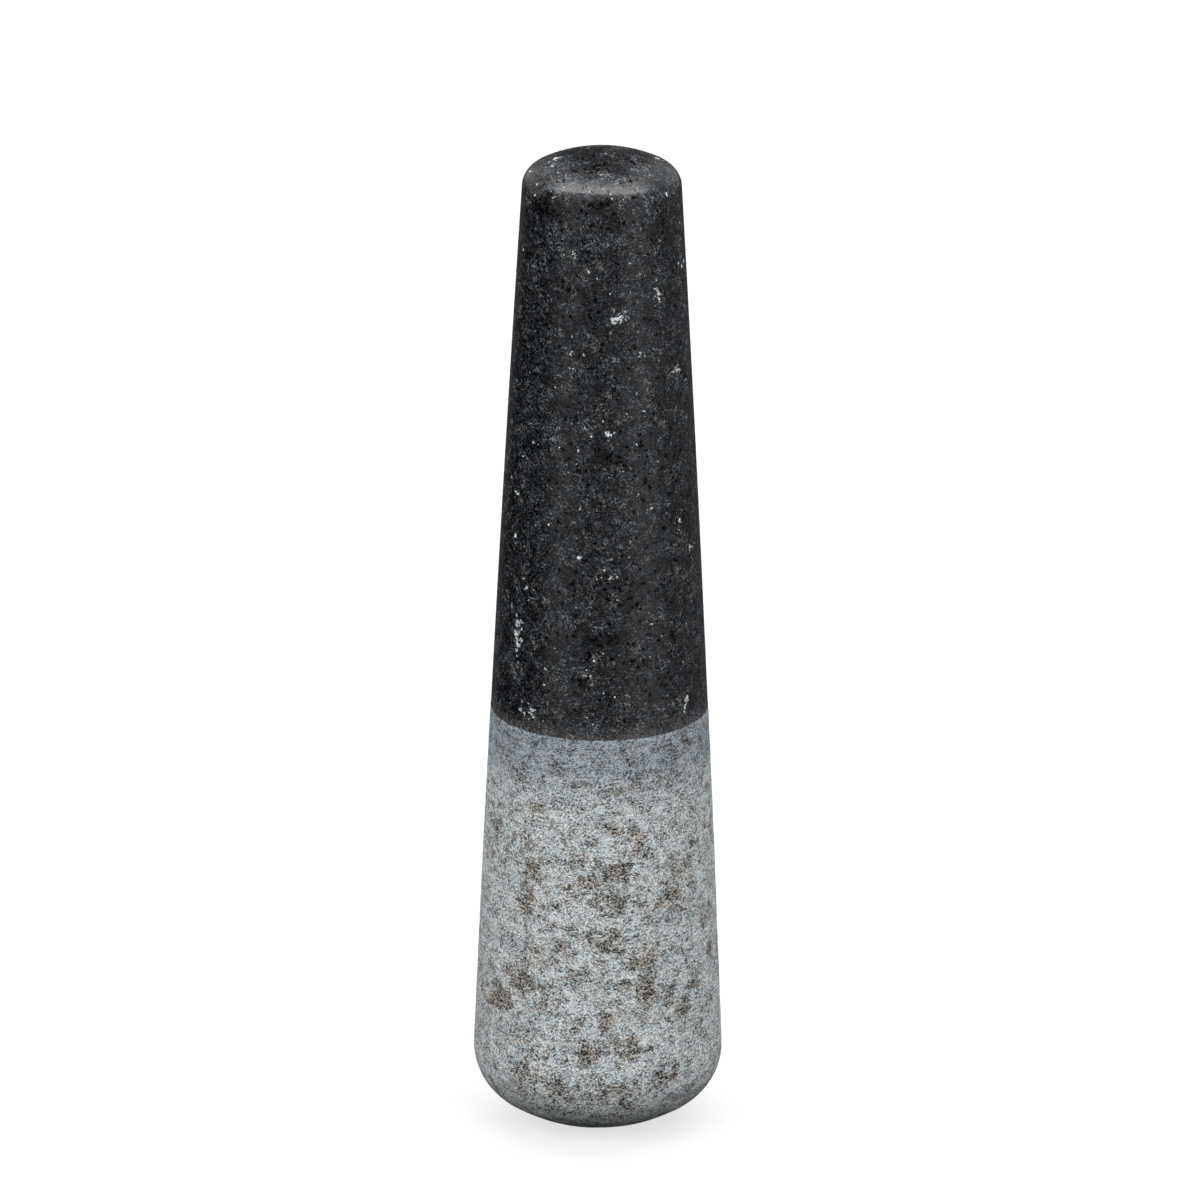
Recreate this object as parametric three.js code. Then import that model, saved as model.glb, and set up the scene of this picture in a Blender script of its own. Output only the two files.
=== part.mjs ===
// Granite pestle: one turned stone, ground at the wide end and polished along the grip.
// Millimetres, +Z up, standing on the flat land of its grinding end, with the axis on Z.
import * as THREE from 'three';
import { mergeGeometries, mergeVertices } from 'three/addons/utils/BufferGeometryUtils.js';

// Overall sizes
const HEIGHT = 185;
const MAX_DIAMETER = 45;

// Grinding end: a flat land to stand on, a dome around it and a large rounding up to the side
const LAND_DIAMETER = 16;
const DOME_RADIUS = 32.1;
const HEAD_EDGE_RADIUS = 11.2;

// Grip: the side is one very flat arc, which gives the taper its slight swell
const SIDE_RADIUS = 8600;
const FINISH_LINE_HEIGHT = 79;

// Butt: a low crown with a rounded edge
const BUTT_DIAMETER = 29;
const BUTT_EDGE_RADIUS = 3.6;
const CROWN_RADIUS = 26.8;

// Facets
const FACETS_AROUND = 72;
const DOME_STEPS = 5;
const HEAD_EDGE_STEPS = 10;
const WIDEST_TO_SIDE_STEPS = 1;
const GROUND_SIDE_STEPS = 5;
const POLISHED_SIDE_STEPS = 7;
const BUTT_EDGE_STEPS = 9;
const CROWN_STEPS = 6;
const WELD_DISTANCE = 1e-4;

// Profile points have the radius as x and the height as y.
const point = (radius, height) => new THREE.Vector2(radius, height);

// The centre of an edge rounding that touches a dome from inside and reaches a given diameter.
// The rounding lies on the side of the dome's centre that `towards` gives: -1 below it, +1 above it.
function edgeCentre(domeCentre, domeRadius, edgeRadius, diameter, towards) {
  const radius = diameter / 2 - edgeRadius;
  const reach = Math.sqrt((domeRadius - edgeRadius) ** 2 - radius ** 2);
  return point(radius, domeCentre.y + towards * reach);
}

// The centre of the flat side arc, far across the axis, so that the arc touches both edge roundings.
function sideCentre(lower, lowerRadius, upper, upperRadius) {
  const along = upper.clone().sub(lower);
  const distance = along.length();
  along.normalize();
  const outward = point(along.y, -along.x);
  const toLower = SIDE_RADIUS - lowerRadius;
  const toUpper = SIDE_RADIUS - upperRadius;
  const offset = (distance ** 2 + toLower ** 2 - toUpper ** 2) / (2 * distance);
  const depth = Math.sqrt(toLower ** 2 - offset ** 2);
  return lower.clone().addScaledVector(along, offset).addScaledVector(outward, -depth);
}

const direction = (from, to) => Math.atan2(to.y - from.y, to.x - from.x);

// The points of an arc after its first one, so that arcs chain without doubled points.
function arc(centre, radius, startAngle, endAngle, steps) {
  const points = [];
  for (let step = 1; step <= steps; step += 1) {
    const angle = THREE.MathUtils.lerp(startAngle, endAngle, step / steps);
    points.push(point(centre.x + radius * Math.cos(angle), centre.y + radius * Math.sin(angle)));
  }
  return points;
}

// Centres of the five arcs, each one tangent to the next
const landRadius = LAND_DIAMETER / 2;
const domeCentre = point(0, Math.sqrt(DOME_RADIUS ** 2 - landRadius ** 2));
const crownCentre = point(0, HEIGHT - CROWN_RADIUS);
const headEdge = edgeCentre(domeCentre, DOME_RADIUS, HEAD_EDGE_RADIUS, MAX_DIAMETER, -1);
const buttEdge = edgeCentre(crownCentre, CROWN_RADIUS, BUTT_EDGE_RADIUS, BUTT_DIAMETER, 1);
const side = sideCentre(headEdge, HEAD_EDGE_RADIUS, buttEdge, BUTT_EDGE_RADIUS);

// Angles where one arc hands over to the next. The head edge is widest where it points straight out.
const WIDEST_ANGLE = 0;
const landAngle = Math.atan2(-domeCentre.y, landRadius);
const domeToEdge = direction(domeCentre, headEdge);
const edgeToSide = direction(side, headEdge);
const finishAngle = Math.asin((FINISH_LINE_HEIGHT - side.y) / SIDE_RADIUS);
const sideToButt = direction(side, buttEdge);
const buttToCrown = direction(crownCentre, buttEdge);

const groundProfile = [
  point(0, 0),
  point(landRadius, 0),
  ...arc(domeCentre, DOME_RADIUS, landAngle, domeToEdge, DOME_STEPS),
  ...arc(headEdge, HEAD_EDGE_RADIUS, domeToEdge, WIDEST_ANGLE, HEAD_EDGE_STEPS),
  ...arc(headEdge, HEAD_EDGE_RADIUS, WIDEST_ANGLE, edgeToSide, WIDEST_TO_SIDE_STEPS),
  ...arc(side, SIDE_RADIUS, edgeToSide, finishAngle, GROUND_SIDE_STEPS),
];
const polishedProfile = [
  groundProfile.at(-1),
  ...arc(side, SIDE_RADIUS, finishAngle, sideToButt, POLISHED_SIDE_STEPS),
  ...arc(buttEdge, BUTT_EDGE_RADIUS, sideToButt, buttToCrown, BUTT_EDGE_STEPS),
  ...arc(crownCentre, CROWN_RADIUS, buttToCrown, Math.PI / 2, CROWN_STEPS).slice(0, -1),
  point(0, HEIGHT),
];

// One zone of the stone's skin, turned about Z. It is open at the finish line.
function turnedSkin(profile) {
  const skin = new THREE.LatheGeometry(profile, FACETS_AROUND);
  skin.rotateX(Math.PI / 2);
  skin.deleteAttribute('normal');
  skin.deleteAttribute('uv');
  return skin;
}

// Both zones welded at the finish line into one closed stone, one geometry group for each finish
const skins = mergeGeometries([turnedSkin(groundProfile), turnedSkin(polishedProfile)], true);
const stone = mergeVertices(skins, WELD_DISTANCE);
stone.computeVertexNormals();

const groundGranite = new THREE.MeshStandardMaterial({ color: 0xa4a8a9, roughness: 0.85 });
groundGranite.name = 'ground granite';
const polishedGranite = new THREE.MeshStandardMaterial({ color: 0x33353a, roughness: 0.3 });
polishedGranite.name = 'polished granite';

const pestle = new THREE.Mesh(stone, [groundGranite, polishedGranite]);
pestle.name = 'pestle';

const granitePestle = new THREE.Group();
granitePestle.name = 'granite_pestle';
granitePestle.add(pestle);

export default granitePestle;
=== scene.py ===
"""Looks of a granite pestle: one turned stone, ground at its wide end and polished along its grip.

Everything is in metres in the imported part's frame. The stone stands on z = 0 with its axis on Z, and the
camera looks along +Y. Sizes of the stone and its minerals are given in millimetres.
"""

import logging
import math
import random
from dataclasses import dataclass
from enum import Enum
from typing import Any

import bmesh
import bpy
import numpy as np
from bmesh.types import BMesh, BMVert
from bpy.types import Material, Mesh, NodeOutputs, NodeSocket, NodeTree, Object
from mathutils import Euler, Matrix, Vector, noise
from mathutils.bvhtree import BVHTree


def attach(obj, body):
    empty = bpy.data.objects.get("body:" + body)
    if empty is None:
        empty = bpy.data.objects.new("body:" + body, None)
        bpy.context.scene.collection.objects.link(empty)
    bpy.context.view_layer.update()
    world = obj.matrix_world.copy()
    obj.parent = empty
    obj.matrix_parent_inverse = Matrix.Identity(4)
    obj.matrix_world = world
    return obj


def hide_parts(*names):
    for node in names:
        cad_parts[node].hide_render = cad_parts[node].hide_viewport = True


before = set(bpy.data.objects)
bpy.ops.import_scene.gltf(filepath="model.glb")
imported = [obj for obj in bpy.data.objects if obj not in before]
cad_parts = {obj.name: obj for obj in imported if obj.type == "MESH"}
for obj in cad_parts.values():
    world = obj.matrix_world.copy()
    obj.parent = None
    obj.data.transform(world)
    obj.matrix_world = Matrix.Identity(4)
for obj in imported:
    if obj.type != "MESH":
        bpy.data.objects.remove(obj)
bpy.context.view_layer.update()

MM = 0.001
PHOTO_SIDE = 1200
SENSOR_MM = 36.0
FULL_TURN = 360.0
FINISH_LINE_MM = 79.0
NODE = "pestle"
BACK_SEED = 7
OUTLINE_SEED = 3
WHITE = "ffffff"

# Places of the colour sockets on Blender's Mix node, whose names repeat for each kind of value
MIX_FACTOR = 0
MIX_A = 6
MIX_B = 7
MIX_RESULT = 2

# Places along a colour ramp or round a tent, each with its sRGB code
Stops = tuple[tuple[float, str], ...]
# Two ends of a range
Limits = tuple[float, float]

log = logging.getLogger("pestle")


def to_linear(code: str) -> tuple[float, float, float, float]:
    """Turns an sRGB colour code into linear light.

    Args:
        code: Six hexadecimal digits, such as "a4a8a9".

    Returns:
        Red, green, blue and an alpha of 1.
    """
    channels = [int(code[start : start + 2], 16) / 255 for start in (0, 2, 4)]
    linear = [c / 12.92 if c <= 0.04045 else ((c + 0.055) / 1.055) ** 2.4 for c in channels]
    return (linear[0], linear[1], linear[2], 1.0)


def add_node(
    tree: NodeTree, kind: str, sockets: dict[str | int, Any] | None = None, **settings: Any
) -> NodeOutputs:
    """Adds a node with its settings, and its inputs as values or links.

    Args:
        tree: The node tree that gets the node.
        kind: Blender's name for the node's type.
        sockets: For each input's name or place, a value, an sRGB code, or an output to link from.
        settings: The node's own properties.

    Returns:
        The new node's outputs.
    """
    node = tree.nodes.new(kind)
    for name, value in settings.items():
        setattr(node, name, value)
    for key, value in (sockets or {}).items():
        if isinstance(value, NodeSocket):
            tree.links.new(value, node.inputs[key])
        else:
            node.inputs[key].default_value = to_linear(value) if isinstance(value, str) else value
    return node.outputs


def add_ramp(tree: NodeTree, factor: NodeSocket, stops: Stops) -> NodeSocket:
    """Adds a colour ramp.

    Args:
        tree: The node tree that gets the ramp.
        factor: What the ramp reads.
        stops: Place and sRGB code of each stop, in rising order.

    Returns:
        The ramp's colour.
    """
    colour = add_node(tree, "ShaderNodeValToRGB", {0: factor})[0]
    elements = colour.node.color_ramp.elements
    while len(elements) < len(stops):
        elements.new(1.0)
    for element, (place, code) in zip(elements, stops):
        element.position = place
        element.color = to_linear(code)
    return colour


def new_material(name: str) -> Material:
    """Makes a material with an empty node tree.

    Args:
        name: The material's name.

    Returns:
        The material.
    """
    material = bpy.data.materials.new(name)
    material.use_nodes = True
    material.node_tree.nodes.clear()
    return material


def outward(bearing: float, elevation: float = 0.0) -> Vector:
    """Gives the direction away from the stone's axis.

    Args:
        bearing: Degrees round from the camera's side, to the camera's right.
        elevation: Degrees above level.

    Returns:
        A unit vector.
    """
    around = math.radians(bearing)
    tilt = math.radians(elevation)
    level = math.cos(tilt)
    return Vector((math.sin(around) * level, -math.cos(around) * level, math.sin(tilt)))


class Finish(Enum):
    """The two finishes of the stone, by material slot."""

    GROUND = 0
    POLISHED = 1


class Mineral(Enum):
    """Kinds of crystal that stand out of the fine grain, by the mesh attribute that holds their share. The
    dark share also holds painted shade across the heel and the crown.
    """

    DARK = "dark_mineral"
    PALE = "pale_mineral"
    WARM = "warm_mineral"


@dataclass(frozen=True)
class Mark:
    """A cluster of crystals in the photograph, or a patch of painted shade: its middle and size in pixels,
    and how rich it is.
    """

    x: int
    y: int
    wide: int
    tall: int
    rich: float


@dataclass(frozen=True)
class Cluster:
    """A cluster of crystals, or a patch of painted shade, on the stone: its place, its width's direction,
    and half sizes in metres.
    """

    mineral: Mineral
    place: Vector
    across: Vector
    half_wide: float
    half_tall: float
    rich: float


# Ragged dark clusters of the ground end, from the finish line down. The wide, flat mark across the heel is
# painted shade on the downward-facing rounding, not a cluster.
GROUND_DARK_MARKS = (
    Mark(x=624, y=752, wide=8, tall=12, rich=0.7),
    Mark(x=685, y=742, wide=10, tall=10, rich=0.6),
    Mark(x=674, y=779, wide=10, tall=10, rich=0.6),
    Mark(x=497, y=826, wide=8, tall=14, rich=0.6),
    Mark(x=615, y=831, wide=20, tall=10, rich=0.7),
    Mark(x=637, y=843, wide=16, tall=24, rich=0.6),
    Mark(x=528, y=843, wide=22, tall=20, rich=0.45),
    Mark(x=692, y=846, wide=7, tall=9, rich=0.7),
    Mark(x=650, y=852, wide=11, tall=13, rich=0.7),
    Mark(x=575, y=857, wide=22, tall=15, rich=0.7),
    Mark(x=505, y=864, wide=11, tall=13, rich=0.6),
    Mark(x=532, y=867, wide=18, tall=26, rich=0.9),
    Mark(x=681, y=870, wide=20, tall=17, rich=0.65),
    Mark(x=619, y=871, wide=22, tall=18, rich=1.0),
    Mark(x=590, y=884, wide=22, tall=16, rich=0.65),
    Mark(x=528, y=890, wide=14, tall=14, rich=0.8),
    Mark(x=672, y=898, wide=26, tall=26, rich=0.5),
    Mark(x=608, y=900, wide=38, tall=24, rich=0.7),
    Mark(x=526, y=908, wide=19, tall=15, rich=1.0),
    Mark(x=705, y=920, wide=8, tall=14, rich=0.6),
    Mark(x=613, y=942, wide=26, tall=22, rich=0.65),
    Mark(x=709, y=948, wide=10, tall=18, rich=0.65),
    Mark(x=562, y=952, wide=16, tall=15, rich=0.5),
    Mark(x=646, y=961, wide=31, tall=22, rich=0.9),
    Mark(x=580, y=975, wide=15, tall=13, rich=0.5),
    Mark(x=519, y=979, wide=27, tall=28, rich=0.95),
    Mark(x=694, y=985, wide=11, tall=20, rich=0.65),
    Mark(x=622, y=986, wide=15, tall=13, rich=0.6),
    Mark(x=647, y=992, wide=18, tall=30, rich=1.2),
    Mark(x=664, y=997, wide=14, tall=16, rich=0.7),
    Mark(x=498, y=997, wide=20, tall=29, rich=0.95),
    Mark(x=540, y=1005, wide=14, tall=12, rich=0.5),
    Mark(x=683, y=1006, wide=15, tall=14, rich=0.75),
    Mark(x=608, y=1024, wide=18, tall=16, rich=0.95),
    Mark(x=577, y=1025, wide=16, tall=13, rich=0.9),
    Mark(x=527, y=1034, wide=16, tall=10, rich=0.7),
    Mark(x=706, y=1037, wide=9, tall=12, rich=0.6),
    Mark(x=624, y=1052, wide=22, tall=22, rich=0.65),
    Mark(x=589, y=1053, wide=20, tall=20, rich=0.95),
    Mark(x=526, y=1077, wide=29, tall=22, rich=0.65),
    Mark(x=668, y=1078, wide=22, tall=16, rich=0.8),
    Mark(x=559, y=1089, wide=22, tall=19, rich=0.75),
    # Painted shade: a wide, faint band that darkens the heel's lower rounding
    Mark(x=600, y=1091, wide=75, tall=14, rich=0.4),
    Mark(x=624, y=1104, wide=16, tall=10, rich=0.8),
)

# Warm beige patches of the ground end
GROUND_WARM_MARKS = (
    Mark(x=632, y=746, wide=26, tall=12, rich=0.6),
    Mark(x=522, y=778, wide=12, tall=12, rich=0.7),
    Mark(x=580, y=788, wide=16, tall=18, rich=0.9),
    Mark(x=620, y=790, wide=22, tall=15, rich=0.9),
    Mark(x=533, y=811, wide=26, tall=24, rich=0.8),
    Mark(x=558, y=893, wide=28, tall=24, rich=0.6),
    Mark(x=672, y=898, wide=30, tall=30, rich=0.8),
    Mark(x=612, y=940, wide=34, tall=30, rich=0.7),
    Mark(x=542, y=956, wide=26, tall=24, rich=0.7),
    Mark(x=498, y=997, wide=30, tall=36, rich=0.7),
    Mark(x=640, y=1016, wide=36, tall=20, rich=0.8),
    Mark(x=624, y=1050, wide=26, tall=26, rich=0.8),
    Mark(x=524, y=1075, wide=36, tall=28, rich=0.6),
)

# Black patches of the polished grip, from the butt down. The first two, wide and flat across the crown, are
# partly the stone's darker patches and partly painted shade that darkens the top face.
GRIP_DARK_MARKS = (
    # Partly darker stone, partly painted shade: two wide bands that darken the crown's top face
    Mark(x=606, y=158, wide=60, tall=7, rich=0.5),
    Mark(x=592, y=169, wide=55, tall=9, rich=0.65),
    Mark(x=600, y=206, wide=27, tall=19, rich=1.0),
    Mark(x=542, y=207, wide=22, tall=26, rich=0.7),
    Mark(x=615, y=226, wide=20, tall=14, rich=0.8),
    Mark(x=656, y=232, wide=16, tall=18, rich=0.8),
    Mark(x=641, y=445, wide=9, tall=11, rich=0.9),
    Mark(x=607, y=457, wide=22, tall=14, rich=0.8),
    Mark(x=634, y=602, wide=14, tall=18, rich=0.8),
    Mark(x=612, y=637, wide=18, tall=12, rich=1.1),
    Mark(x=590, y=643, wide=22, tall=17, rich=0.8),
    Mark(x=640, y=664, wide=20, tall=9, rich=1.1),
    Mark(x=581, y=682, wide=11, tall=9, rich=1.2),
)

# White and pale blue flecks of the polished grip, from the butt down
GRIP_PALE_MARKS = (
    Mark(x=554, y=165, wide=18, tall=4, rich=0.5),
    Mark(x=621, y=174, wide=6, tall=4, rich=0.8),
    Mark(x=630, y=184, wide=5, tall=7, rich=0.8),
    Mark(x=567, y=196, wide=7, tall=6, rich=1.0),
    Mark(x=576, y=254, wide=10, tall=5, rich=1.1),
    Mark(x=681, y=262, wide=6, tall=20, rich=0.6),
    Mark(x=647, y=267, wide=5, tall=5, rich=0.9),
    Mark(x=589, y=272, wide=8, tall=6, rich=0.8),
    Mark(x=575, y=297, wide=7, tall=9, rich=0.9),
    Mark(x=656, y=297, wide=8, tall=13, rich=1.2),
    Mark(x=620, y=319, wide=13, tall=10, rich=1.2),
    Mark(x=639, y=355, wide=4, tall=11, rich=1.1),
    Mark(x=587, y=356, wide=5, tall=5, rich=1.0),
    Mark(x=675, y=371, wide=11, tall=8, rich=1.1),
    Mark(x=604, y=404, wide=5, tall=5, rich=0.9),
    Mark(x=661, y=425, wide=5, tall=5, rich=0.9),
    Mark(x=611, y=435, wide=15, tall=7, rich=1.1),
    Mark(x=537, y=444, wide=10, tall=10, rich=0.8),
    Mark(x=526, y=457, wide=14, tall=7, rich=0.8),
    Mark(x=517, y=492, wide=6, tall=9, rich=0.8),
    Mark(x=652, y=509, wide=9, tall=5, rich=0.8),
    Mark(x=680, y=524, wide=7, tall=16, rich=0.6),
    Mark(x=516, y=537, wide=5, tall=12, rich=1.0),
    Mark(x=692, y=545, wide=6, tall=18, rich=0.6),
    Mark(x=579, y=558, wide=9, tall=5, rich=1.0),
    Mark(x=605, y=577, wide=20, tall=12, rich=0.5),
    Mark(x=522, y=581, wide=4, tall=4, rich=1.0),
    Mark(x=527, y=590, wide=7, tall=5, rich=1.0),
    Mark(x=686, y=624, wide=4, tall=4, rich=1.0),
    Mark(x=517, y=637, wide=8, tall=40, rich=1.0),
    Mark(x=565, y=656, wide=22, tall=6, rich=0.6),
    Mark(x=596, y=659, wide=6, tall=7, rich=1.1),
    Mark(x=590, y=679, wide=14, tall=12, rich=0.5),
    Mark(x=675, y=702, wide=8, tall=9, rich=0.9),
    Mark(x=686, y=707, wide=5, tall=16, rich=1.0),
    Mark(x=527, y=712, wide=28, tall=14, rich=0.6),
    Mark(x=595, y=719, wide=30, tall=5, rich=0.6),
)

# Beige crystals of the polished grip
GRIP_WARM_MARKS = (
    Mark(x=589, y=272, wide=10, tall=8, rich=0.9),
    Mark(x=604, y=500, wide=16, tall=12, rich=0.8),
    Mark(x=590, y=679, wide=16, tall=14, rich=1.0),
    Mark(x=675, y=702, wide=10, tall=11, rich=1.0),
)

# Each mineral's marks. The clusters at the back are drawn in this order
MARK_GROUPS = (
    (Mineral.DARK, GROUND_DARK_MARKS),
    (Mineral.WARM, GROUND_WARM_MARKS),
    (Mineral.DARK, GRIP_DARK_MARKS),
    (Mineral.PALE, GRIP_PALE_MARKS),
    (Mineral.WARM, GRIP_WARM_MARKS),
)


def place_in_mm(tree: NodeTree, stretch: tuple[float, float, float] = (1.0, 1.0, 1.0)) -> NodeSocket:
    """Adds the place on the stone in millimetres.

    Args:
        tree: The material's node tree.
        stretch: How much finer than real the pattern is along X, Y and Z.

    Returns:
        The place as a vector.
    """
    coordinates = add_node(tree, "ShaderNodeTexCoord")["Object"]
    scale = tuple(axis / MM for axis in stretch)
    return add_node(tree, "ShaderNodeVectorMath", {0: coordinates, 1: scale}, operation="MULTIPLY")[0]


def share_by_height(tree: NodeTree, place: NodeSocket, heights: Limits, most: float) -> NodeSocket:
    """Adds a share that grows softly from one height to another.

    Args:
        tree: The material's node tree.
        place: The place on the stone in millimetres.
        heights: Where the share is 0, and where it is at its most.
        most: The share at its most.

    Returns:
        The share.
    """
    height = add_node(tree, "ShaderNodeSeparateXYZ", {0: place})["Z"]
    sockets = {"Value": height, "From Min": heights[0], "From Max": heights[1], "To Max": most}
    return add_node(tree, "ShaderNodeMapRange", sockets, interpolation_type="SMOOTHSTEP")[0]


def mix_colours(tree: NodeTree, share: Any, below: Any, above: Any, blend: str = "MIX") -> NodeSocket:
    """Adds a colour laid over another one.

    Args:
        tree: The material's node tree.
        share: How much of the upper colour shows, as a value or an output.
        below: The lower colour, as a code or an output.
        above: The upper colour, as a code or an output.
        blend: How the upper colour acts on the lower one.

    Returns:
        The mixed colour.
    """
    sockets = {MIX_FACTOR: share, MIX_A: below, MIX_B: above}
    return add_node(tree, "ShaderNodeMix", sockets, data_type="RGBA", blend_type=blend)[MIX_RESULT]


def lay_surface(tree: NodeTree, height: NodeSocket, depth_mm: float, sockets: dict[str, Any]) -> None:
    """Adds the shader with its fine relief, and the material's output.

    Args:
        tree: The material's node tree.
        height: The relief, from 0 to 1.
        depth_mm: How deep the relief is.
        sockets: The shader's other inputs.
    """
    bumps = {"Strength": 1.0, "Distance": depth_mm * MM, "Height": height}
    relief = add_node(tree, "ShaderNodeBump", bumps)[0]
    surface = add_node(tree, "ShaderNodeBsdfPrincipled", {**sockets, "Normal": relief})[0]
    add_node(tree, "ShaderNodeOutputMaterial", {"Surface": surface})


@dataclass(frozen=True)
class Showing:
    """How a mineral shows: a full cluster lifts a ragged noise by its reach, past the limits.

    The mineral starts to show at the first limit, and has its most at the second.
    """

    mineral: Mineral
    reach: float
    limits: Limits
    most: float

    def share(self, tree: NodeTree, ragged: NodeSocket) -> NodeSocket:
        """Adds the mineral's share of the surface.

        Args:
            tree: The material's node tree.
            ragged: A noise around 0.5 that breaks up the clusters' edges.

        Returns:
            The share.
        """
        cluster = add_node(tree, "ShaderNodeAttribute", attribute_name=self.mineral.value)["Fac"]
        lift = {0: cluster, 1: self.reach, 2: ragged}
        lifted = add_node(tree, "ShaderNodeMath", lift, operation="MULTIPLY_ADD")[0]
        start, full = self.limits
        sockets = {"Value": lifted, "From Min": start, "From Max": full, "To Max": self.most}
        return add_node(tree, "ShaderNodeMapRange", sockets, interpolation_type="SMOOTHSTEP")[0]


@dataclass(frozen=True)
class Mosaic:
    """The grain of the granite: ragged crystals and fine grains over a cloudy field.

    Its tone has 0.5 as the middle of the grain, and nearly all of it lies between 0.2 and 0.8, whatever the
    sizes are. Each ragged crystal also has a hue, which is any number from 0 to 1.
    """

    cloud_mm: float
    crystal_mm: float
    grain_mm: float
    crystal_weight: float
    grain_weight: float
    ragged_mm: float = 0.9
    ragged_reach_mm: float = 1.6
    cloud_detail: float = 2.0
    ragged_detail: float = 3.0
    roughness: float = 0.7
    cloud_spread: float = 0.08
    tone_reach: float = 3.0

    def lay(self, tree: NodeTree, place: NodeSocket) -> tuple[NodeSocket, NodeSocket]:
        """Adds the grain.

        Args:
            tree: The material's node tree.
            place: The place on the stone in millimetres.

        Returns:
            The tone, and the hue of the crystals.
        """
        noises = []
        for size, detail in ((self.cloud_mm, self.cloud_detail), (self.ragged_mm, self.ragged_detail)):
            sockets = {"Vector": place, "Scale": 1 / size, "Detail": detail, "Roughness": self.roughness}
            noises.append(add_node(tree, "ShaderNodeTexNoise", sockets))
        reach = (self.ragged_reach_mm, self.ragged_reach_mm, self.ragged_reach_mm)
        waver = {0: noises[1]["Color"], 1: reach, 2: place}
        ragged_place = add_node(tree, "ShaderNodeVectorMath", waver, operation="MULTIPLY_ADD")[0]

        # Each crystal and grain is a cell with a chance colour: red gives its tone and green its hue
        total = noises[0]["Fac"]
        hues = []
        for spot, size, weight in (
            (ragged_place, self.crystal_mm, self.crystal_weight),
            (place, self.grain_mm, self.grain_weight),
        ):
            cells = add_node(tree, "ShaderNodeTexVoronoi", {"Vector": spot, "Scale": 1 / size})
            chance = add_node(tree, "ShaderNodeSeparateColor", {0: cells["Color"]})
            hues.append(chance["Green"])
            added = {0: chance["Red"], 1: weight, 2: total}
            total = add_node(tree, "ShaderNodeMath", added, operation="MULTIPLY_ADD")[0]

        # A chance from 0 to 1 has a mean of a half and a spread of one over the root of 12
        middle = 0.5 + (self.crystal_weight + self.grain_weight) / 2
        chance_spread = math.hypot(self.crystal_weight, self.grain_weight) / math.sqrt(12)
        spread = self.tone_reach * math.hypot(self.cloud_spread, chance_spread)
        sockets = {"Value": total, "From Min": middle - spread, "From Max": middle + spread}
        return add_node(tree, "ShaderNodeMapRange", sockets)[0], hues[0]


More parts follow.
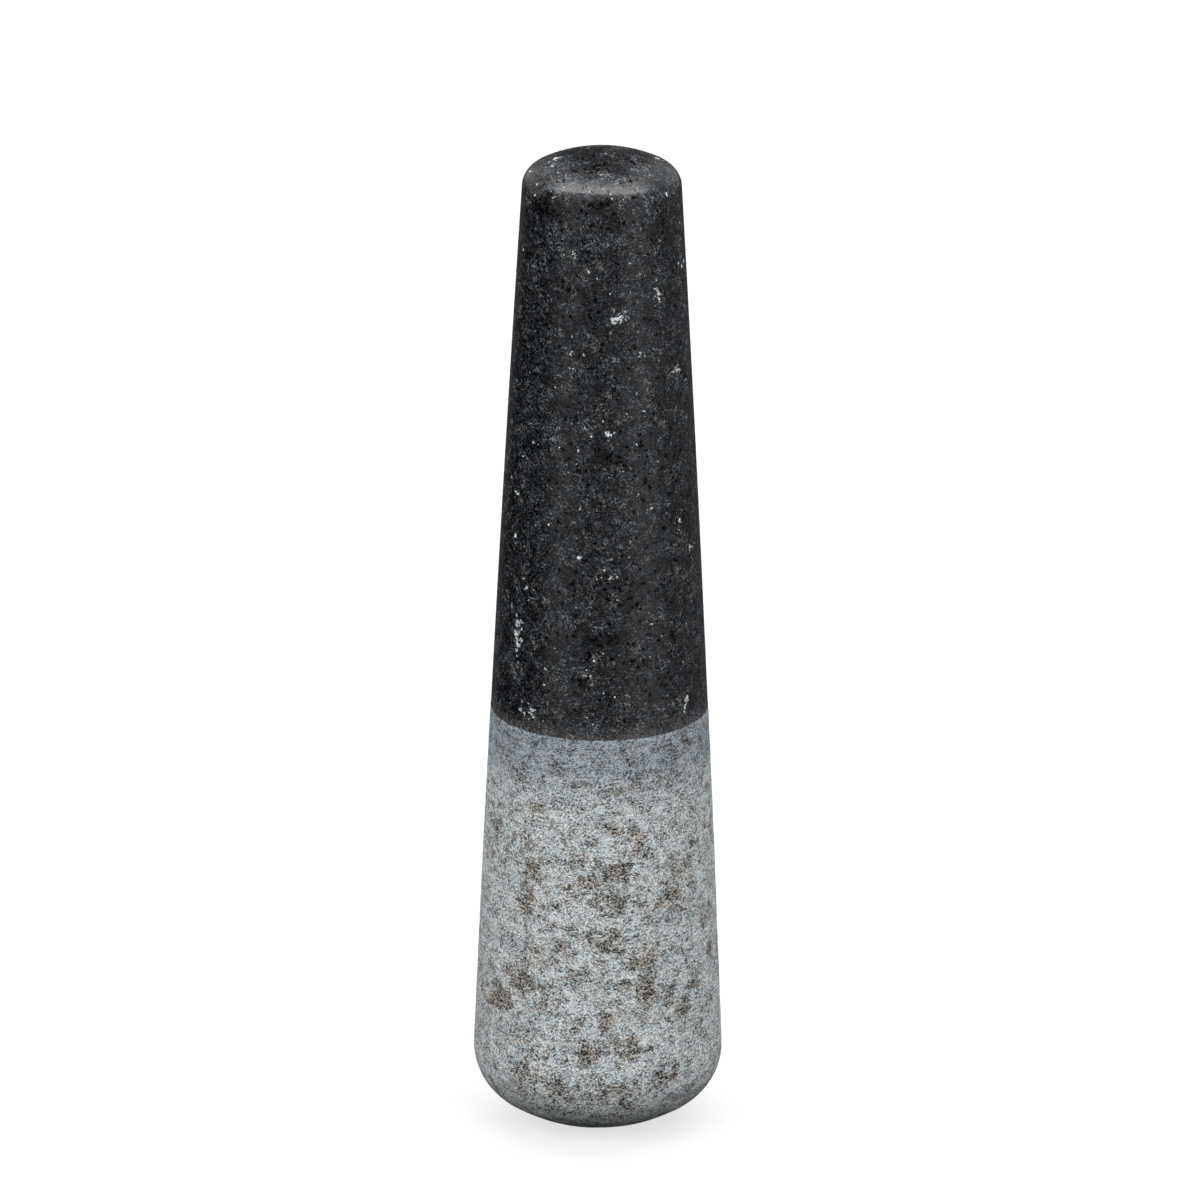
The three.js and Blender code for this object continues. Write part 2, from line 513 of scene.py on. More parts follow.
@dataclass(frozen=True)
class GroundGranite:
    """Granite as the grinding wheel left it: matt and pale, because every crystal is scuffed white.

    The eye sees a crisp salt-and-pepper grain, faint strokes along the turning direction, slight tints
    between blue-grey and beige, ragged brown clusters of softer crystals, and a darker, smoother band next
    to the polish. The scuffs are finer than a tenth of a millimetre. They are drawn about twice as coarse,
    which is what they need to show.
    """

    roughness: float = 0.82
    ior: float = 1.45
    grain: Mosaic = Mosaic(
        cloud_mm=3.0, crystal_mm=1.3, grain_mm=0.215, crystal_weight=0.15, grain_weight=1.1
    )
    ragged: Mosaic = Mosaic(
        cloud_mm=2.2, crystal_mm=1.8, grain_mm=0.35, crystal_weight=0.25, grain_weight=0.38
    )
    stroke_mm: float = 0.35
    stroke_length_mm: float = 9.0
    stroke_detail: float = 2.0
    stroke_weight: float = 0.3
    turning_squash: float = 1.2
    grain_depth_mm: float = 0.1
    grain_colours: Stops = (
        (0.2, "3c3e3f"), (0.34, "8d9295"), (0.5, "cad1d4"), (0.66, "e8eff2"), (0.8, "ffffff")
    )
    dark_colours: Stops = ((0.28, "121110"), (0.42, "403d39"), (0.56, "88847d"), (0.7, "d6d0c7"))
    tints: Stops = ((0.1, "f4f9fa"), (0.5, "f9fafa"), (0.9, "faf8f4"))
    dark: Showing = Showing(Mineral.DARK, reach=0.57, limits=(0.71, 0.8), most=0.92)
    stain: Showing = Showing(Mineral.DARK, reach=0.57, limits=(0.58, 0.74), most=0.7)
    stain_colour: str = "bfb6aa"
    warm: Showing = Showing(Mineral.WARM, reach=0.4, limits=(0.62, 0.86), most=0.9)
    warm_colour: str = "eae1d5"
    band_mm: float = 15.0
    band_full_mm: float = 4.5
    band_most: float = 0.85
    band_colour: str = "bcc1ca"

    def make(self) -> Material:
        """Makes the material.

        Returns:
            The ground granite.
        """
        material = new_material("ground_granite")
        tree = material.node_tree
        place = place_in_mm(tree)
        turned = place_in_mm(tree, (1.0, 1.0, self.turning_squash))
        along = 1 / self.stroke_length_mm
        along_turning = place_in_mm(tree, (along, along, 1 / self.stroke_mm))

        # Scuffed grain with faint strokes of the wheel
        wheel = {"Vector": along_turning, "Scale": 1.0, "Detail": self.stroke_detail}
        strokes = add_node(tree, "ShaderNodeTexNoise", wheel)[0]
        grain, hue = self.grain.lay(tree, turned)
        added = {0: strokes, 1: self.stroke_weight, 2: grain}
        stroked = add_node(tree, "ShaderNodeMath", added, operation="MULTIPLY_ADD")[0]
        evened = {0: stroked, 1: self.stroke_weight / 2}
        tone = add_node(tree, "ShaderNodeMath", evened, operation="SUBTRACT")[0]
        pale = add_ramp(tree, tone, self.grain_colours)

        # Blue-grey and beige crystals
        tinted = mix_colours(tree, 1.0, pale, add_ramp(tree, hue, self.tints), "MULTIPLY")

        # Warm patches, and ragged dark clusters with a brown stain round them. The dark and stain shares
        # also carry the painted shade across the heel.
        ragged, _ = self.ragged.lay(tree, turned)
        warm_share = self.warm.share(tree, ragged)
        warmed = mix_colours(tree, warm_share, tinted, self.warm_colour, "MULTIPLY")
        stain_share = self.stain.share(tree, ragged)
        stained = mix_colours(tree, stain_share, warmed, self.stain_colour, "MULTIPLY")
        dark_share = self.dark.share(tree, ragged)
        dark = add_ramp(tree, tone, self.dark_colours)
        clustered = mix_colours(tree, dark_share, stained, dark)

        # The smoother, darker band that the polishing wheel has brushed
        band_heights = (FINISH_LINE_MM - self.band_mm, FINISH_LINE_MM - self.band_full_mm)
        band = share_by_height(tree, place, band_heights, self.band_most)
        colour = mix_colours(tree, band, clustered, self.band_colour, "MULTIPLY")

        sunk = add_node(tree, "ShaderNodeMath", {0: tone, 1: dark_share}, operation="SUBTRACT")[0]
        sockets = {"Base Color": colour, "Roughness": self.roughness, "IOR": self.ior}
        lay_surface(tree, sunk, self.grain_depth_mm, sockets)
        return material


@dataclass(frozen=True)
class PolishedGranite:
    """The same granite, polished: near-black, because light sinks into the clear crystals.

    The eye sees a crisp mosaic of black and grey crystals, small black pits, white and pale blue flecks, a
    few beige crystals, and a soft satin reflection.
    """

    ior: float = 1.5
    hard_roughness: float = 0.16
    soft_roughness: float = 0.34
    grain: Mosaic = Mosaic(
        cloud_mm=3.2, crystal_mm=1.2, grain_mm=0.24, crystal_weight=0.22, grain_weight=1.0
    )
    ragged: Mosaic = Mosaic(
        cloud_mm=1.2,
        crystal_mm=0.6,
        grain_mm=0.4,
        crystal_weight=0.5,
        grain_weight=0.25,
        ragged_mm=0.5,
        ragged_reach_mm=0.8,
    )
    grain_depth_mm: float = 0.02
    grain_colours: Stops = (
        (0.16, "020202"), (0.33, "070809"), (0.43, "1a1c1f"), (0.6, "282a2f"),
        (0.72, "45494e"), (0.86, "7e8488"), (1.0, "bcc4c6"),
    )
    tints: Stops = ((0.1, "dfecf4"), (0.5, "fafafa"), (0.9, "fcefe2"))
    dark_pull: float = 0.2
    fleck_colours: Stops = ((0.2, "5a6163"), (0.4, "b4c0c0"), (0.6, "f6faf8"))
    pale: Showing = Showing(Mineral.PALE, reach=0.43, limits=(0.89, 0.94), most=1.0)
    pit_reach: float = 0.25
    pit_ragged: float = 0.26
    pit_limits: Limits = (0.235, 0.175)
    pit_colour: str = "030303"
    polish_shine: float = 0.5
    pit_shine: float = 0.1
    warm: Showing = Showing(Mineral.WARM, reach=0.4, limits=(0.82, 0.92), most=0.8)
    warm_colour: str = "645d53"
    fade_mm: float = 3.5
    fade_most: float = 0.3
    fade_colour: str = "9a9898"

    def make(self) -> Material:
        """Makes the material.

        Returns:
            The polished granite.
        """
        material = new_material("polished_granite")
        tree = material.node_tree
        place = place_in_mm(tree)

        # Mosaic of fine crystals, blacker in the dark clusters and in the painted shade across the crown
        grain, hue = self.grain.lay(tree, place)
        dark = add_node(tree, "ShaderNodeAttribute", attribute_name=Mineral.DARK.value)["Fac"]
        pulled = {0: dark, 1: -self.dark_pull, 2: grain}
        tone = add_node(tree, "ShaderNodeMath", pulled, operation="MULTIPLY_ADD")[0]
        stone = add_ramp(tree, tone, self.grain_colours)
        tinted = mix_colours(tree, 1.0, stone, add_ramp(tree, hue, self.tints), "MULTIPLY")

        # Black pits, beige crystals, and white and pale blue flecks
        ragged, pit_chance = self.ragged.lay(tree, place)
        for value, weight in ((tone, self.pit_ragged), (dark, -self.pit_reach)):
            added = {0: value, 1: weight, 2: pit_chance}
            pit_chance = add_node(tree, "ShaderNodeMath", added, operation="MULTIPLY_ADD")[0]
        start, full = self.pit_limits
        pit_range = {"Value": pit_chance, "From Min": start, "From Max": full}
        pit_share = add_node(tree, "ShaderNodeMapRange", pit_range)[0]
        pitted = mix_colours(tree, pit_share, tinted, self.pit_colour)
        warmed = mix_colours(tree, self.warm.share(tree, ragged), pitted, self.warm_colour)
        fleck = add_ramp(tree, tone, self.fleck_colours)
        flecked = mix_colours(tree, self.pale.share(tree, ragged), warmed, fleck)

        # The last millimetres before the ground zone, which the polishing wheel only brushed
        fade = share_by_height(tree, place, (FINISH_LINE_MM + self.fade_mm, FINISH_LINE_MM), self.fade_most)
        fade_share = add_node(tree, "ShaderNodeMath", {0: fade, 1: tone}, operation="MULTIPLY")[0]
        colour = mix_colours(tree, fade_share, flecked, self.fade_colour)

        # Paler grains take less polish, and pits hardly shine
        gloss, shine = [
            add_node(tree, "ShaderNodeMapRange", {"Value": value, "To Min": low, "To Max": high})[0]
            for value, low, high in (
                (tone, self.hard_roughness, self.soft_roughness),
                (pit_share, self.polish_shine, self.pit_shine),
            )
        ]
        sockets = {"Base Color": colour, "Roughness": gloss, "IOR": self.ior, "Specular IOR Level": shine}
        lay_surface(tree, tone, self.grain_depth_mm, sockets)
        return material


@dataclass
class PhotoCamera:
    """The camera of the photograph: very far away with a long lens, a little above the stone."""

    distance: float = 9.0
    elevation: float = math.radians(20.0)
    lean: float = math.radians(0.277)
    lens_mm: float = 1487.8
    target: Vector = Vector((0.0, 0.0, 0.0925))
    right_of_target: float = 0.00005
    above_target: float = 0.00613

    def turn(self) -> Matrix:
        """Gives the camera's rotation, tilted down onto the stone and leaning a little."""
        tilt = Euler((math.pi / 2 - self.elevation, 0.0, 0.0)).to_matrix()
        return tilt @ Matrix.Rotation(self.lean, 3, "Z")

    def position(self) -> Vector:
        """Gives the camera's place."""
        offset = Vector((self.right_of_target, self.above_target, self.distance))
        return self.target + self.turn() @ offset

    def ray(self, x: float, y: float) -> Vector:
        """Gives the direction of sight through a pixel of the photograph.

        Args:
            x: Pixels from the photograph's left edge.
            y: Pixels from its top edge.

        Returns:
            A unit vector in the part's frame.
        """
        focal = self.lens_mm / SENSOR_MM * PHOTO_SIDE
        middle = PHOTO_SIDE / 2
        return (self.turn() @ Vector((x - middle, middle - y, -focal))).normalized()

    def build(self) -> Object:
        """Makes the camera and sets it as the scene's.

        Returns:
            The camera object.
        """
        data = bpy.data.cameras.new("photo_camera")
        data.lens = self.lens_mm
        data.sensor_width = SENSOR_MM
        camera = bpy.data.objects.new("photo_camera", data)
        camera.matrix_world = Matrix.Translation(self.position()) @ self.turn().to_4x4()
        bpy.context.scene.collection.objects.link(camera)
        bpy.context.scene.camera = camera
        log.info("camera: %.1f m away", self.distance)
        return camera


@dataclass(frozen=True)
class Arc:
    """An arc of the stone's section: its centre's radius and height, its sweep and its steps."""

    radius: float
    height: float
    sweep: float
    steps: int

    def draw(self, shape: BMesh, tip: BMVert) -> BMVert:
        """Carries the section on from its last point.

        Args:
            shape: The mesh that holds the section.
            tip: The section's last point so far.

        Returns:
            The arc's last point.
        """
        spun = bmesh.ops.spin(
            shape,
            geom=[tip],
            cent=(self.radius, 0.0, self.height),
            axis=(0.0, -1.0, 0.0),
            angle=self.sweep,
            steps=self.steps,
        )
        return next(item for item in spun["geom_last"] if isinstance(item, BMVert))


@dataclass(frozen=True)
class Relief:
    """How far the worked surface stands out of the turned form, in millimetres.

    The ground end has broad lumps, small pits where crystals broke out, and the rings of the wheel. It
    stands a little proud of the polished grip, whose own waves are hardly there.
    """

    ledge: float = 0.06
    lump: float = 0.05
    lump_size: float = 6.0
    pit: float = 0.16
    pit_size: float = 1.8
    pit_limit: float = 0.2
    ring: float = 0.02
    ring_pitch: float = 0.9
    ring_length: float = 30.0
    wave: float = 0.012
    wave_size: float = 15.0
    line_wobble: float = 0.12
    line_wobble_size: float = 2.5
    flat_height: float = 2.0

    def ground(self, place: Vector) -> float:
        """Gives the relief of the ground end.

        Args:
            place: A point of the turned form.

        Returns:
            The distance outward. Lumps, pits and rings fade out at the land that the stone stands on.
        """
        lumps = self.lump * noise.noise(place / self.lump_size)
        pits = -self.pit * max(0.0, noise.noise(place / self.pit_size) - self.pit_limit)
        length = self.ring_length
        rings = self.ring * noise.noise((place.x / length, place.y / length, place.z / self.ring_pitch))
        return self.ledge + (lumps + pits + rings) * min(1.0, place.z / self.flat_height)

    def polished(self, place: Vector) -> float:
        """Gives the relief of the polished grip at a point of the turned form."""
        return self.wave * noise.noise(place / self.wave_size)

    def line_shift(self, place: Vector) -> float:
        """Gives how far the finish line strays upward at a point of the turned form."""
        return self.line_wobble * noise.noise(place / self.line_wobble_size)


@dataclass
class PestleStone:
    """The one stone of the pestle. Sizes are in millimetres, as on the solid, and turns in degrees."""

    camera: PhotoCamera
    relief: Relief = Relief()
    height: float = 185.0
    widest_diameter: float = 45.0
    land_diameter: float = 16.0
    dome_radius: float = 32.1
    head_edge_radius: float = 11.2
    side_radius: float = 8600.0
    ledge_height: float = 0.2
    butt_diameter: float = 29.0
    butt_edge_radius: float = 3.6
    crown_radius: float = 26.8
    weld: float = 0.002

    # How fine the mesh is
    around: int = 256
    land_steps: int = 6
    dome_steps: int = 16
    head_edge_steps: int = 28
    ground_side_steps: int = 140
    polished_side_steps: int = 130
    butt_edge_steps: int = 14
    crown_steps: int = 12

    # How uneven the clusters' outlines are, how they fall off, and the least share of a size that is seen
    outline_shift: float = 1.2
    outline_shift_size: float = 2.4
    outline_fall: float = 0.7
    outline_power: float = 1.5
    least_share: float = 0.25

    # How far round, how much taller and how wide clusters at the back are, compared with the seen ones
    back_turn: float = 95.0
    back_growth: Limits = (0.8, 1.6)
    back_widest: float = 1.4
    back_shape: Limits = (0.9, 1.6)

    def dome_height(self) -> float:
        """Gives the height of the dome's centre."""
        return math.sqrt(self.dome_radius**2 - (self.land_diameter / 2) ** 2)

    def crown_height(self) -> float:
        """Gives the height of the crown's centre."""
        return self.height - self.crown_radius

    def head_edge(self) -> Vector:
        """Gives the radius and height of the head edge's centre, where it touches the dome from inside."""
        radius = self.widest_diameter / 2 - self.head_edge_radius
        reach = math.sqrt((self.dome_radius - self.head_edge_radius) ** 2 - radius**2)
        return Vector((radius, self.dome_height() - reach))

    def butt_edge(self) -> Vector:
        """Gives the radius and height of the butt edge's centre, where it touches the crown from inside."""
        radius = self.butt_diameter / 2 - self.butt_edge_radius
        reach = math.sqrt((self.crown_radius - self.butt_edge_radius) ** 2 - radius**2)
        return Vector((radius, self.crown_height() + reach))

    def side(self) -> tuple[float, float]:
        """Works out the flat side arc that touches both edges.

        Returns:
            The radius and height of its centre, far across the axis.
        """
        lower = self.head_edge()
        upper = self.butt_edge()
        along = upper - lower
        distance = along.length
        along.normalize()
        to_lower = self.side_radius - self.head_edge_radius
        to_upper = self.side_radius - self.butt_edge_radius
        offset = (distance**2 + to_lower**2 - to_upper**2) / (2 * distance)
        depth = math.sqrt(to_lower**2 - offset**2)
        radius = lower.x + along.x * offset - along.y * depth
        return radius, lower.y + along.y * offset + along.x * depth

    def side_radius_at(self, height: float) -> float:
        """Gives the stone's radius at a height on its side."""
        centre_radius, centre_height = self.side()
        return centre_radius + math.sqrt(self.side_radius**2 - (height - centre_height) ** 2)

    def climb(self, shape: BMesh, tip: BMVert, height: float, steps: int) -> BMVert:
        """Carries the section on up the side.

        Args:
            shape: The mesh that holds the section.
            tip: The section's last point so far.
            height: Where the stretch ends.
            steps: How many edges it gets.

        Returns:
            The stretch's last point.
        """
        start = tip.co.z
        for step in range(1, steps + 1):
            level = start + (height - start) * step / steps
            tip = bmesh.ops.extrude_vert_indiv(shape, verts=[tip])["verts"][0]
            tip.co = (self.side_radius_at(level), 0.0, level)
        return tip

    def draw_section(self, shape: BMesh) -> None:
        """Draws half of the stone's section in the XZ plane, from the land's middle to the crown's top.

        Args:
            shape: The empty mesh that gets the section.
        """
        head_edge = self.head_edge()
        butt_edge = self.butt_edge()
        side_centre_radius, side_centre_height = self.side()
        land_radius = self.land_diameter / 2
        land_angle = math.atan2(-self.dome_height(), land_radius)
        dome_end = math.atan2(head_edge.y - self.dome_height(), head_edge.x)
        side_start = math.atan2(head_edge.y - side_centre_height, head_edge.x - side_centre_radius)
        side_end = math.atan2(butt_edge.y - side_centre_height, butt_edge.x - side_centre_radius)
        crown_start = math.atan2(butt_edge.y - self.crown_height(), butt_edge.x)
        grip_end = butt_edge.y + self.butt_edge_radius * math.sin(side_end)

        tip = shape.verts.new((0.0, 0.0, 0.0))
        for step in range(1, self.land_steps + 1):
            tip = bmesh.ops.extrude_vert_indiv(shape, verts=[tip])["verts"][0]
            tip.co.x = land_radius * step / self.land_steps
        tip = Arc(0.0, self.dome_height(), dome_end - land_angle, self.dome_steps).draw(shape, tip)
        tip = Arc(head_edge.x, head_edge.y, side_start - dome_end, self.head_edge_steps).draw(shape, tip)
        tip = self.climb(shape, tip, FINISH_LINE_MM - self.ledge_height, self.ground_side_steps)
        tip = self.climb(shape, tip, FINISH_LINE_MM, 1)
        tip = self.climb(shape, tip, grip_end, self.polished_side_steps)
        tip = Arc(butt_edge.x, butt_edge.y, crown_start - side_end, self.butt_edge_steps).draw(shape, tip)
        tip = Arc(0.0, self.crown_height(), math.pi / 2 - crown_start, self.crown_steps).draw(shape, tip)
        tip.co = (0.0, 0.0, self.height)

    def roughen(self, shape: BMesh) -> None:
        """Gives the turned form its worked surface and lets the finish line stray a little.

        Args:
            shape: The turned form in millimetres.
        """
        edge = self.ledge_height / 2
        for point in shape.verts:
            place = point.co.copy()
            if abs(place.z - FINISH_LINE_MM) < edge:
                point.co.z += self.relief.line_shift(place)
            elif place.z > FINISH_LINE_MM:
                point.co += point.normal * self.relief.polished(place)
            elif place.z > edge:
                point.co += point.normal * self.relief.ground(place)

    def turn(self) -> Mesh:
        """Turns the section about the axis into a closed stone.

        Returns:
            The stone's mesh, in metres, with a material index for each finish.
        """
        shape = bmesh.new()
        self.draw_section(shape)
        bmesh.ops.spin(
            shape,
            geom=shape.verts[:] + shape.edges[:],
            cent=(0.0, 0.0, 0.0),
            axis=(0.0, 0.0, 1.0),
            angle=2 * math.pi,
            steps=self.around,
            use_merge=True,
        )
        bmesh.ops.remove_doubles(shape, verts=shape.verts[:], dist=self.weld)
        bmesh.ops.recalc_face_normals(shape, faces=shape.faces[:])
        for face in shape.faces:
            above = face.calc_center_median().z > FINISH_LINE_MM
            face.material_index = (Finish.POLISHED if above else Finish.GROUND).value
            face.smooth = True
        shape.normal_update()
        self.roughen(shape)
        bmesh.ops.scale(shape, vec=(MM, MM, MM), verts=shape.verts[:])
        mesh = bpy.data.meshes.new("pestle_stone")
        shape.to_mesh(mesh)
        shape.free()
        return mesh

    def place_marks(self, mesh: Mesh) -> list[Cluster]:
        """Finds where on the stone the photograph's marks are.

        Args:
            mesh: The turned stone.

        Returns:
            One cluster for each mark that the camera sees.
        """
        tree = BVHTree.FromPolygons([v.co for v in mesh.vertices], [p.vertices for p in mesh.polygons])
        half_pixel = self.camera.distance * SENSOR_MM / self.camera.lens_mm / PHOTO_SIDE / 2
        right = self.camera.turn() @ Vector((1.0, 0.0, 0.0))
        up = self.camera.turn() @ Vector((0.0, 1.0, 0.0))
        clusters = []
        for mineral, marks in MARK_GROUPS:
            for mark in marks:
                sight = self.camera.ray(mark.x, mark.y)
                place, normal = tree.ray_cast(self.camera.position(), sight)[:2]
                if place is None:
                    continue
                across = (right - normal * right.dot(normal)).normalized()
                along = normal.cross(across)
                half_wide = mark.wide * half_pixel / max(abs(right.dot(across)), self.least_share)
                half_tall = mark.tall * half_pixel / max(abs(up.dot(along)), self.least_share)
                clusters.append(Cluster(mineral, place, across, half_wide, half_tall, mark.rich))
        return clusters

    def scatter_behind(self, seen: list[Cluster]) -> list[Cluster]:
        """Scatters clusters like the seen ones over the side that the photograph doesn't show.

        Args:
            seen: The clusters on the side that it shows.

        Returns:
            As many clusters at the back, each at the height of a seen one and about as large.
        """
        chance = random.Random(BACK_SEED)
        behind = []
        for cluster in seen:
            bearing = math.atan2(cluster.place.x, -cluster.place.y)
            stray = math.radians(chance.uniform(-self.back_turn, self.back_turn))
            turn = Matrix.Rotation(math.pi + stray - bearing, 3, "Z")
            half_tall = cluster.half_tall * chance.uniform(*self.back_growth)
            half_wide = half_tall * chance.uniform(*self.back_shape)
            half_wide = min(half_wide, cluster.half_wide * self.back_widest)
            place = turn @ cluster.place
            across = turn @ cluster.across
            behind.append(Cluster(cluster.mineral, place, across, half_wide, half_tall, cluster.rich))
        return behind

    def write_minerals(self, mesh: Mesh, clusters: list[Cluster]) -> None:
        """Writes each mineral's share on the stone's points as a mesh attribute, with uneven outlines.

        Args:
            mesh: The turned stone.
            clusters: The clusters of all minerals.
        """
        size = self.outline_shift_size * MM
        shift = self.outline_shift * MM
        noise.seed_set(OUTLINE_SEED)
        places = np.array([v.co + noise.noise_vector(v.co / size) * shift for v in mesh.vertices])
        for mineral in Mineral:
            share = np.zeros(len(places))
            for cluster in clusters:
                if cluster.mineral is not mineral:
                    continue
                away = places - np.array(cluster.place)
                across = away @ np.array(cluster.across)
                along_squared = (away**2).sum(axis=1) - across**2
                reach = (across / cluster.half_wide) ** 2 + along_squared / cluster.half_tall**2
                fullness = np.exp(-self.outline_fall * reach**self.outline_power)
                share = np.maximum(share, cluster.rich * fullness)
            attribute = mesh.attributes.new(mineral.value, "FLOAT", "POINT")
            attribute.data.foreach_set("value", share.astype(np.float32))

    def build(self) -> Object:
        """Builds the stone and puts it on the frame.

        Returns:
            The stone's object.
        """
        mesh = self.turn()
        seen = self.place_marks(mesh)
        self.write_minerals(mesh, seen + self.scatter_behind(seen))
        stone = bpy.data.objects.new("pestle_stone", mesh)
        bpy.context.scene.collection.objects.link(stone)
        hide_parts(NODE)
        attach(stone, "root")
        log.info("stone: %d faces, %d seen clusters", len(mesh.polygons), len(seen))
        return stone

    def dress(self, stone: Object) -> None:
        """Gives the stone's object its two finishes."""
        stone.data.materials.append(GroundGranite().make())
        stone.data.materials.append(PolishedGranite().make())


@dataclass(frozen=True)
class Softbox:
    """A soft lamp that faces the stone.

    Its bearing is from the camera's side and its elevation above level, both in degrees. Its distance,
    width and depth are in metres. A lamp that isn't mirrored doesn't show in the polish.
    """

    name: str
    bearing: float
    elevation: float
    distance: float
    width: float
    depth: float
    radiance: float
    mirrored: bool = True

    def hang(self, target: Vector) -> None:
        """Hangs the lamp.

        Args:
            target: The point that the lamp faces.
        """
        lamp = bpy.data.lights.new(self.name, "AREA")
        lamp.shape = "RECTANGLE"
        lamp.size = self.width
        lamp.size_y = self.depth
        lamp.energy = self.radiance * math.pi * self.width * self.depth
        away = outward(self.bearing, self.elevation)
        holder = bpy.data.objects.new(self.name, lamp)
        holder.location = target + away * self.distance
        holder.rotation_euler = away.to_track_quat("Z", "Y").to_euler()
        holder.visible_camera = False
        holder.visible_glossy = self.mirrored
        bpy.context.scene.collection.objects.link(holder)


@dataclass(frozen=True)
class Tent:
    """Grey cards on an arc round the stone, which only its reflections see.

    Without them the polish would mirror the white floor and surround. Bearings are from the camera's side,
    in degrees, and the tones go round by bearing. Heights and radii are in metres.
    """

    name: str
    bottom: float
    top: float
    tones: Stops
    first_bearing: float = -90.0
    last_bearing: float = 270.0
    bottom_radius: float = 0.15
    top_radius: float = 0.15
    segments: int = 96
    seam_bearing: float = -90.0

    def build(self) -> Object:
        """Puts the tent up.

        Returns:
            The tent's object.
        """
        shape = bmesh.new()
        away = outward(self.first_bearing)
        lower = shape.verts.new(away * self.bottom_radius + Vector((0.0, 0.0, self.bottom)))
        upper = shape.verts.new(away * self.top_radius + Vector((0.0, 0.0, self.top)))
        post = shape.edges.new((lower, upper))
        bmesh.ops.spin(
            shape,
            geom=[lower, upper, post],
            cent=(0.0, 0.0, 0.0),
            axis=(0.0, 0.0, 1.0),
            angle=math.radians(self.last_bearing - self.first_bearing),
            steps=self.segments,
        )
        mesh = bpy.data.meshes.new(self.name)
        shape.to_mesh(mesh)
        shape.free()

        # The radial gradient goes from 0 to 1 once round, from its seam
        material = new_material(f"{self.name}_cards")
        tree = material.node_tree
        coordinates = add_node(tree, "ShaderNodeTexCoord")["Object"]
        gradient = add_node(tree, "ShaderNodeTexGradient", {0: coordinates}, gradient_type="RADIAL")
        stops = tuple(((degrees - self.seam_bearing) / FULL_TURN, code) for degrees, code in self.tones)
        tone = add_ramp(tree, gradient["Fac"], stops)
        glow = add_node(tree, "ShaderNodeEmission", {"Color": tone, "Strength": 1.0})[0]
        add_node(tree, "ShaderNodeOutputMaterial", {"Surface": glow})
        mesh.materials.append(material)

        tent = bpy.data.objects.new(self.name, mesh)
        tent.visible_camera = False
        tent.visible_diffuse = False
        tent.visible_shadow = False
        tent.visible_transmission = False
        bpy.context.scene.collection.objects.link(tent)
        return tent


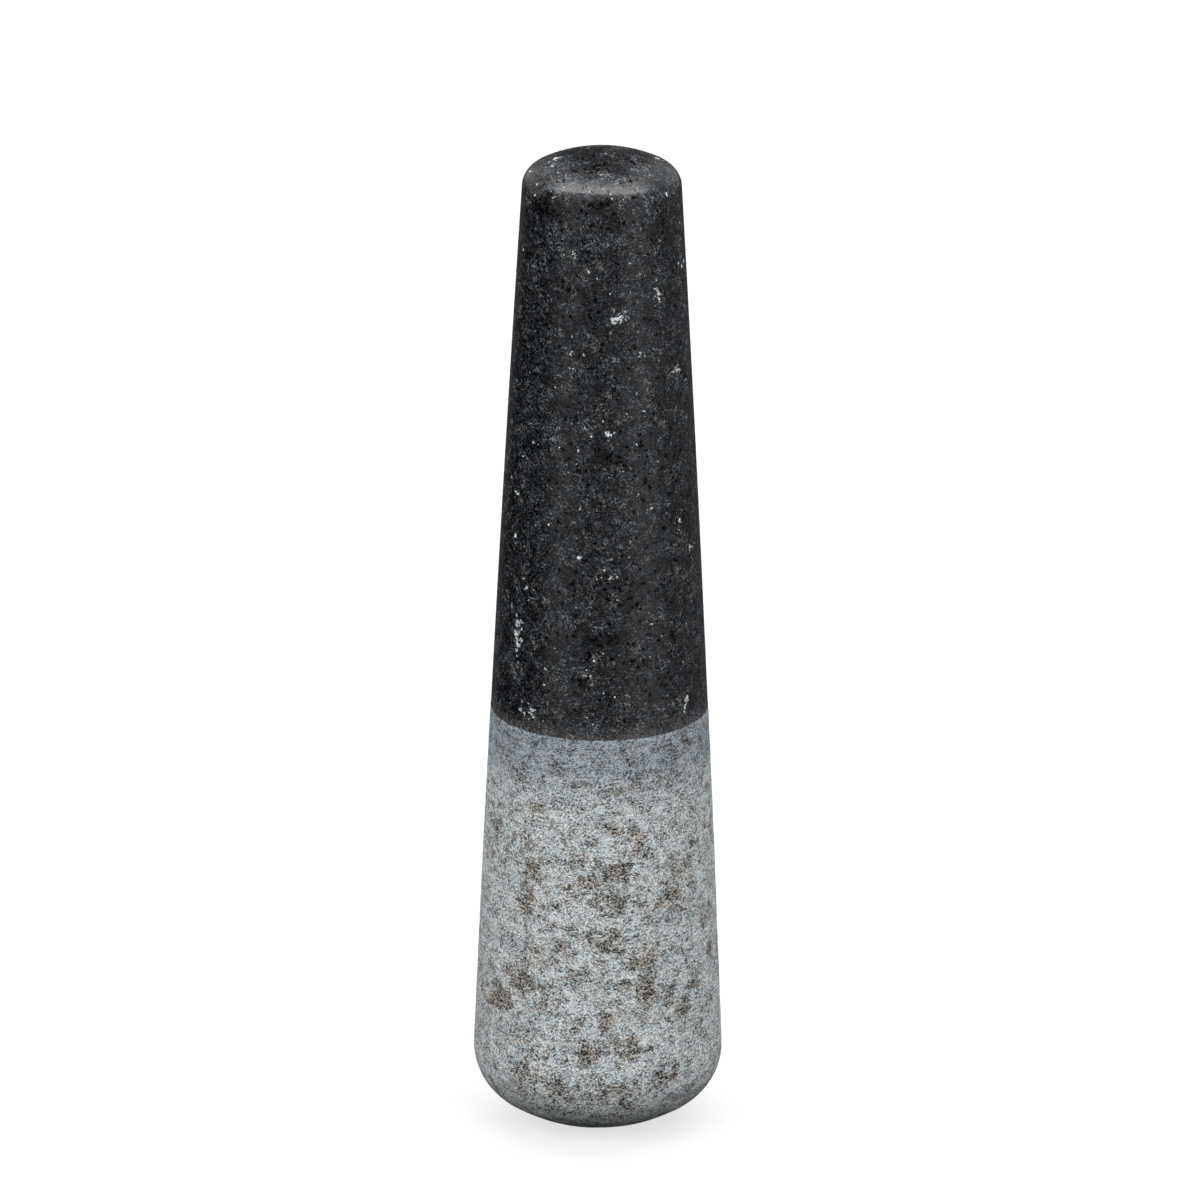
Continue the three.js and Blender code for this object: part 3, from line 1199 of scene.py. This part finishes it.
@dataclass
class Studio:
    """A pale floor in a white surround, with lamps overhead, behind and on both sides of the camera."""

    floor_radius: float = 8.0
    floor_segments: int = 64
    floor_colour: str = "f2f2f2"
    floor_bounce: str = "4a4a4a"
    floor_glow: float = 0.7
    fill: float = 0.4
    target: Vector = Vector((0.0, 0.0, 0.09))
    softboxes: tuple[Softbox, ...] = (
        Softbox(
            "overhead_softbox", bearing=168.0, elevation=77.0,
            distance=2.1, width=3.4, depth=0.62, radiance=5.2,
        ),
        Softbox(
            "back_left_softbox", bearing=-136.0, elevation=56.0,
            distance=2.7, width=1.2, depth=0.7, radiance=1.2,
        ),
        Softbox(
            "back_right_softbox", bearing=136.0, elevation=56.0,
            distance=2.7, width=1.2, depth=0.7, radiance=2.0,
        ),
        Softbox(
            "back_softbox", bearing=180.0, elevation=30.0,
            distance=2.4, width=1.6, depth=1.3, radiance=1.8, mirrored=False,
        ),
        Softbox(
            "left_softbox", bearing=-48.0, elevation=37.0,
            distance=2.2, width=1.3, depth=1.3, radiance=4.8,
        ),
        Softbox(
            "right_softbox", bearing=36.0, elevation=37.0,
            distance=2.2, width=1.3, depth=1.3, radiance=4.5,
        ),
    )
    tents: tuple[Tent, ...] = (
        Tent(
            "grip_tent", bottom=0.0, top=0.17,
            tones=(
                (-90.0, "101010"), (-76.0, "161616"), (-60.0, "747474"), (-48.0, "bebebe"),
                (-34.0, "b6b6b6"), (-18.0, "828282"), (8.0, "7e7e7e"), (28.0, "a6a6a6"),
                (42.0, "d6d6d6"), (54.0, "d2d2d2"), (76.0, "8a8a8a"), (120.0, "646464"),
                (150.0, "4c4c4c"), (221.0, "4c4c4c"), (231.0, "101010"), (270.0, "101010"),
            ),
        ),
        Tent(
            "rim_tent", bottom=0.17, top=0.36,
            tones=(
                (-90.0, "7c7c7c"), (-62.0, "989898"), (-46.0, "c4c4c4"), (-30.0, "b4b4b4"),
                (0.0, "8c8c8c"), (28.0, "b4b4b4"), (46.0, "d0d0d0"), (62.0, "989898"),
                (90.0, "7c7c7c"), (135.0, "c4c4c4"), (158.0, "c4c4c4"), (168.0, "4a4a4a"),
                (192.0, "4a4a4a"), (202.0, "c4c4c4"), (225.0, "c4c4c4"),
            ),
        ),
        Tent(
            "floor_card", bottom=0.001, top=0.001,
            tones=((-90.0, "3c3c3c"), (270.0, "3c3c3c")),
            bottom_radius=0.002,
        ),
        Tent(
            "crown_card", bottom=0.36, top=0.53,
            tones=((150.0, "4a4a4a"), (210.0, "4a4a4a")),
            first_bearing=152.0,
            last_bearing=208.0,
            segments=16,
        ),
    )

    def shown(self, tree: NodeTree) -> NodeSocket:
        """Adds a factor that is 1 for the camera, reflections and see-through rays.

        Args:
            tree: The node tree that gets the nodes.

        Returns:
            The factor.
        """
        path = add_node(tree, "ShaderNodeLightPath")
        seen = path["Is Camera Ray"]
        for kind in ("Is Glossy Ray", "Is Transmission Ray"):
            seen = add_node(tree, "ShaderNodeMath", {0: seen, 1: path[kind]}, operation="MAXIMUM")[0]
        return seen

    def lay_floor(self) -> Object:
        """Lays the floor: near-white to the camera, with the stone's soft shadow on it.

        Returns:
            The floor's object.
        """
        shape = bmesh.new()
        sizes = {"segments": self.floor_segments, "radius": self.floor_radius}
        bmesh.ops.create_circle(shape, cap_ends=True, **sizes)
        mesh = bpy.data.meshes.new("studio_floor")
        shape.to_mesh(mesh)
        shape.free()
        material = new_material("studio_paper")
        tree = material.node_tree
        paper, dim = [
            add_node(tree, "ShaderNodeBsdfDiffuse", {"Color": code})[0]
            for code in (self.floor_colour, self.floor_bounce)
        ]
        glow = add_node(tree, "ShaderNodeEmission", {"Color": WHITE, "Strength": 1.0})[0]
        bright = add_node(tree, "ShaderNodeMixShader", {0: self.floor_glow, 1: paper, 2: glow})[0]
        surface = add_node(tree, "ShaderNodeMixShader", {0: self.shown(tree), 1: dim, 2: bright})[0]
        add_node(tree, "ShaderNodeOutputMaterial", {"Surface": surface})
        mesh.materials.append(material)
        floor = bpy.data.objects.new("studio_floor", mesh)
        bpy.context.scene.collection.objects.link(floor)
        return floor

    def surround(self) -> None:
        """Makes the surround white to the camera and in reflections, and a soft fill to everything else."""
        world = bpy.data.worlds.new("studio_surround")
        world.use_nodes = True
        tree = world.node_tree
        tree.nodes.clear()
        soft_fill, backdrop = [
            add_node(tree, "ShaderNodeBackground", {"Color": WHITE, "Strength": strength})[0]
            for strength in (self.fill, 1.0)
        ]
        mixed = add_node(tree, "ShaderNodeMixShader", {0: self.shown(tree), 1: soft_fill, 2: backdrop})[0]
        add_node(tree, "ShaderNodeOutputWorld", {"Surface": mixed})
        bpy.context.scene.world = world

    def build(self) -> None:
        """Sets up the studio."""
        self.lay_floor()
        for tent in self.tents:
            tent.build()
        for softbox in self.softboxes:
            softbox.hang(self.target)
        self.surround()
        bpy.context.scene.view_settings.view_transform = "Standard"
        log.info("studio: %d lamps, %d sets of cards", len(self.softboxes), len(self.tents))


def main() -> None:
    """Builds the camera, the stone and the studio, in that order."""
    logging.basicConfig(level=logging.INFO, format="%(message)s")
    camera = PhotoCamera()
    camera.build()
    stone = PestleStone(camera)
    stone.dress(stone.build())
    Studio().build()


if __name__ == "__main__":
    main()
